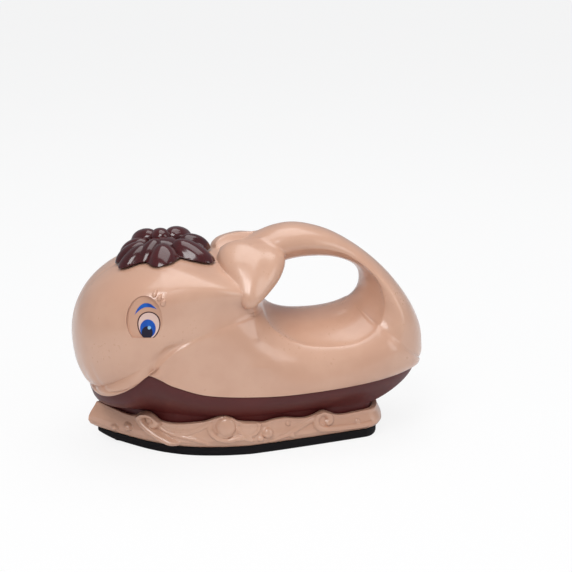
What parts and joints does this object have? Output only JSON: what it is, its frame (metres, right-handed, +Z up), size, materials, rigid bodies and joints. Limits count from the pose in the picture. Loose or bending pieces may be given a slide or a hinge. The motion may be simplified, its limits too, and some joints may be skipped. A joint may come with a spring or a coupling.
{
  "type": "toy iron",
  "caption": "Child's toy clothes iron shaped like a whale: the tail bends back as a handle round a finger hole, and the spout on the head is a press button.",
  "frame": {"origin": "on the resting surface, under the middle of the bounding box", "axes": "+X from nose to tail, +Z up, -Y the side seen in the picture"},
  "size_m": [0.1654, 0.0748, 0.1],
  "materials": {
    "pink_plastic": "glossy moulded ABS",
    "brown_plastic": "satin moulded ABS",
    "dark_sole_plastic": "satin moulded plastic",
    "petal_plastic": "high gloss",
    "grey_plastic": "plain moulded plastic",
    "bright_steel": "zinc-plated",
    "white_plastic": "plain",
    "black_plastic": "plain",
    "board_green": "solder mask",
    "dull_steel": "dull plated",
    "paper_cone": "pressed paper",
    "cell_jacket": "foil jacket",
    "yellow_wire": "insulated wire",
    "black_wire": "insulated wire",
    "red_wire": "insulated wire"
  },
  "bodies": {
    "whale": {"left_body_shell": "pink_plastic", "right_body_shell": "pink_plastic", "belly_tub": "brown_plastic", "wave_base": "pink_plastic", "soleplate": "dark_sole_plastic", "spout_collar": "grey_plastic", "spout_spring": "bright_steel", "switch_body": "black_plastic", "switch_board": "board_green", "sound_board": "board_green", "sound_chip": "black_plastic", "speaker_frame": "dull_steel", "speaker_cone": "paper_cone", "speaker_magnet": "dull_steel", "speaker_clamp": "grey_plastic", "battery_box": "grey_plastic", "battery_left": "cell_jacket", "battery_right": "cell_jacket", "contact_springs": "bright_steel", "contact_plates": "bright_steel", "battery_door": "dark_sole_plastic", "door_screw": "bright_steel", "shell_screws": "bright_steel", "base_screws": "bright_steel", "switch_leads": "yellow_wire", "speaker_leads": "black_wire", "battery_leads": "red_wire"},
    "spout": {"spout_petals": "petal_plastic", "spout_stem": "petal_plastic", "switch_plunger": "white_plastic"}
  },
  "joints": [
    {"name": "spout_press", "type": "slide", "parent": "whale", "child": "spout", "axis": [0, 0, -1], "range_m": [0, 0.0008], "stiffness_N_per_m": 400, "springref_m": -0.0015, "deforming": ["spout_spring"]}
  ]
}
